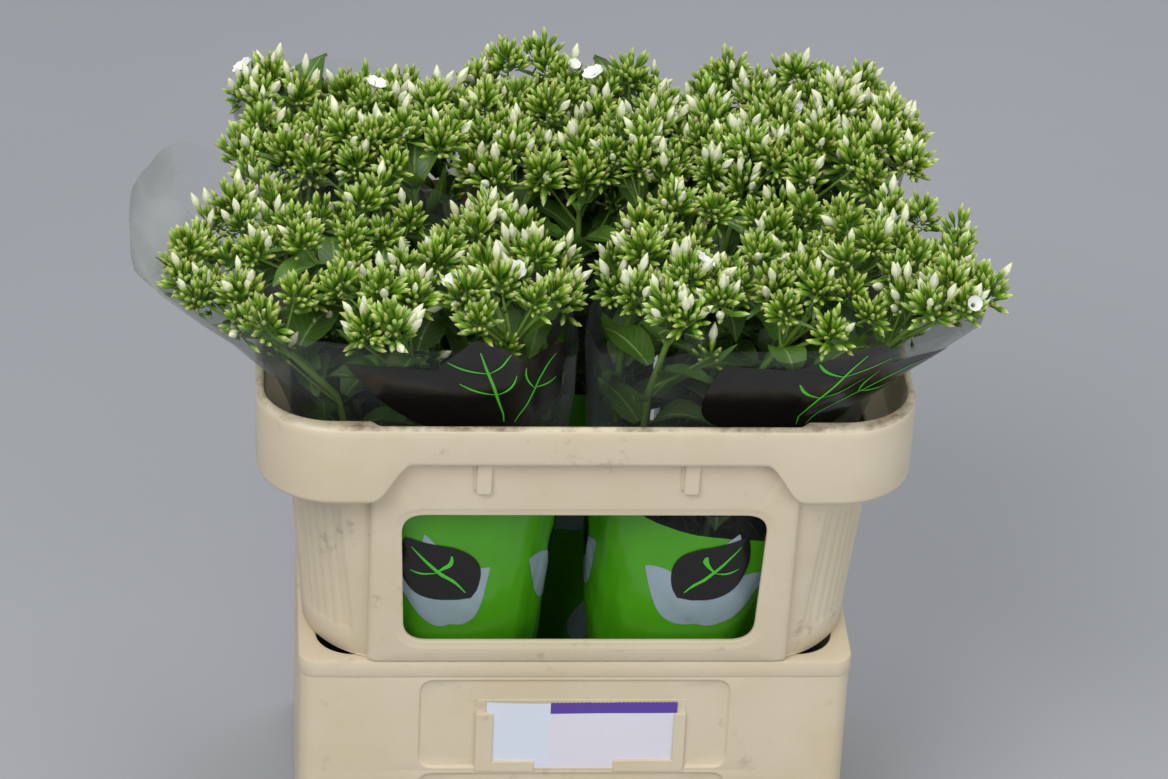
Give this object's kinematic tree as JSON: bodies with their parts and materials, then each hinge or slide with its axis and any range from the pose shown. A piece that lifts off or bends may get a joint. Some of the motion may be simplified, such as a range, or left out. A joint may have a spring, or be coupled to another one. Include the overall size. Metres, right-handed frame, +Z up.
{
  "type": "potted phlox",
  "caption": "Cut phlox stems in bud, in clear printed sleeves, standing in a rectangular plastic flower bucket with a window collar and a label card.",
  "frame": {"origin": "middle of the bucket's flat underside, where it stands", "axes": "+Z up, -Y towards the label card's long side, +X to the right seen from that side"},
  "size_m": [0.61, 0.3925, 0.5856],
  "materials": {
    "bucket_plastic": "satin",
    "collar_plastic": "satin",
    "label_card": "matte",
    "sleeve_film": "clear glossy film",
    "phlox_stem": "living green leaf and bud"
  },
  "bodies": {
    "root": {"base_bucket": "bucket_plastic", "window_collar": "collar_plastic", "label_card": "label_card", "sleeve_front_left": "sleeve_film", "sleeve_front_right": "sleeve_film", "sleeve_back_left": "sleeve_film", "sleeve_back_middle": "sleeve_film", "sleeve_back_right": "sleeve_film", "stem_front_left_01": "phlox_stem", "stem_front_left_02": "phlox_stem", "stem_front_left_03": "phlox_stem", "stem_front_left_04": "phlox_stem", "stem_front_left_05": "phlox_stem", "stem_front_left_06": "phlox_stem", "stem_front_left_07": "phlox_stem", "stem_front_left_08": "phlox_stem", "stem_front_left_09": "phlox_stem", "stem_front_left_10": "phlox_stem", "stem_front_right_01": "phlox_stem", "stem_front_right_02": "phlox_stem", "stem_front_right_03": "phlox_stem", "stem_front_right_04": "phlox_stem", "stem_front_right_05": "phlox_stem", "stem_front_right_06": "phlox_stem", "stem_front_right_07": "phlox_stem", "stem_front_right_08": "phlox_stem", "stem_front_right_09": "phlox_stem", "stem_front_right_10": "phlox_stem", "stem_back_left_01": "phlox_stem", "stem_back_left_02": "phlox_stem", "stem_back_left_03": "phlox_stem", "stem_back_left_04": "phlox_stem", "stem_back_left_05": "phlox_stem", "stem_back_left_06": "phlox_stem", "stem_back_left_07": "phlox_stem", "stem_back_left_08": "phlox_stem", "stem_back_left_09": "phlox_stem", "stem_back_left_10": "phlox_stem", "stem_back_middle_01": "phlox_stem", "stem_back_middle_02": "phlox_stem", "stem_back_middle_03": "phlox_stem", "stem_back_middle_04": "phlox_stem", "stem_back_middle_05": "phlox_stem", "stem_back_middle_06": "phlox_stem", "stem_back_middle_07": "phlox_stem", "stem_back_middle_08": "phlox_stem", "stem_back_middle_09": "phlox_stem", "stem_back_middle_10": "phlox_stem", "stem_back_right_01": "phlox_stem", "stem_back_right_02": "phlox_stem", "stem_back_right_03": "phlox_stem", "stem_back_right_04": "phlox_stem", "stem_back_right_05": "phlox_stem", "stem_back_right_06": "phlox_stem", "stem_back_right_07": "phlox_stem", "stem_back_right_08": "phlox_stem", "stem_back_right_09": "phlox_stem", "stem_back_right_10": "phlox_stem"}
  },
  "joints": []
}
